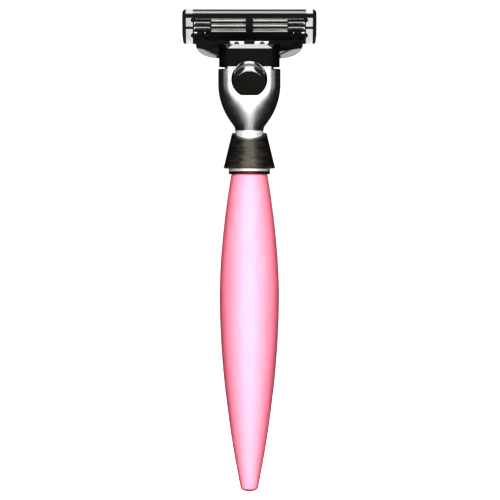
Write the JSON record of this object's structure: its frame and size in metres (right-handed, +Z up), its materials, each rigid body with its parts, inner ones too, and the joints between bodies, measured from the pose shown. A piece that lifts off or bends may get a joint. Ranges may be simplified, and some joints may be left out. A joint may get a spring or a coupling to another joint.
{
  "type": "cartridge razor",
  "caption": "Cartridge razor with a turned cigar-shaped handle, dark ferrule, metal neck with a rear push button, and a pivoting blade cartridge on a slip-on connector.",
  "frame": {"origin": "centre of the neck's waist, where a razor stand's fork holds it", "axes": "+Z up along the handle's axis towards the cartridge; X is the cartridge's width; -Y is the back, with the button; +Y is the shaving side"},
  "size_m": [0.0416, 0.0182, 0.1491],
  "materials": {
    "housing_black": "satin moulded",
    "guard_elastomer": "matt",
    "strip_white": "waxy",
    "clip_aluminium": "bright rolled",
    "blade_steel": "ground",
    "support_steel": "satin rolled",
    "connector_black": "gloss moulded",
    "inner_black": "moulded",
    "button_black": "fine matt face with a polished lip",
    "spring_steel": "drawn wire",
    "nose_metal": "plated",
    "neck_chrome": "polished and plated",
    "ring_bright": "polished",
    "ferrule_gunmetal": "dark, turned",
    "grip_pink": "pearly, polished",
    "insert_brass": "machined",
    "stud_steel": "machined"
  },
  "bodies": {
    "handle": {"neck": "neck_chrome", "nose": "nose_metal", "neck_ring": "ring_bright", "ferrule": "ferrule_gunmetal", "collar_ring": "ring_bright", "handle_grip": "grip_pink", "handle_insert": "insert_brass", "threaded_stud": "stud_steel", "plunger_spring": "spring_steel", "button_spring": "spring_steel"},
    "button": {"release_button": "button_black", "ejector": "inner_black"},
    "plunger": {"plunger": "inner_black"},
    "connector": {"connector": "connector_black"},
    "cartridge": {"cartridge_housing": "housing_black", "guard_strip": "guard_elastomer", "lubricating_strip": "strip_white", "clip_left": "clip_aluminium", "clip_right": "clip_aluminium"},
    "blade_unit_1": {"blade_1": "blade_steel", "blade_support_1": "support_steel"},
    "blade_unit_2": {"blade_2": "blade_steel", "blade_support_2": "support_steel"},
    "blade_unit_3": {"blade_3": "blade_steel", "blade_support_3": "support_steel"}
  },
  "joints": [
    {"name": "connector_release", "type": "slide", "parent": "handle", "child": "connector", "axis": [0, 0, 1], "range_m": [0, 0.012]},
    {"name": "cartridge_pivot", "type": "hinge", "parent": "connector", "child": "cartridge", "pos_m": [0, 0.0028, 0.02965], "axis": [1, 0, 0], "range_deg": [0, 45]},
    {"name": "plunger_slide", "type": "slide", "parent": "handle", "child": "plunger", "axis": [0, 0, 1], "range_m": [-0.0016, 0], "stiffness_N_per_m": 1440, "springref_m": 0.0012, "deforming": ["plunger_spring"]},
    {"name": "button_press", "type": "slide", "parent": "handle", "child": "button", "axis": [0, 0, 1], "range_m": [0, 0.0025], "stiffness_N_per_m": 400, "springref_m": -0.001, "deforming": ["button_spring"]},
    {"name": "blade_1_float", "type": "slide", "parent": "cartridge", "child": "blade_unit_1", "axis": [0, -0.8829, -0.4695], "range_m": [0, 0.0004], "stiffness_N_per_m": 500, "springref_m": -0.0002},
    {"name": "blade_2_float", "type": "slide", "parent": "cartridge", "child": "blade_unit_2", "axis": [0, -0.8829, -0.4695], "range_m": [0, 0.0004], "stiffness_N_per_m": 500, "springref_m": -0.0002},
    {"name": "blade_3_float", "type": "slide", "parent": "cartridge", "child": "blade_unit_3", "axis": [0, -0.8829, -0.4695], "range_m": [0, 0.0004], "stiffness_N_per_m": 500, "springref_m": -0.0002}
  ],
  "couplings": [
    {"joint": "cartridge_pivot", "follows": "plunger_slide", "rad_per_m": -489.8}
  ]
}
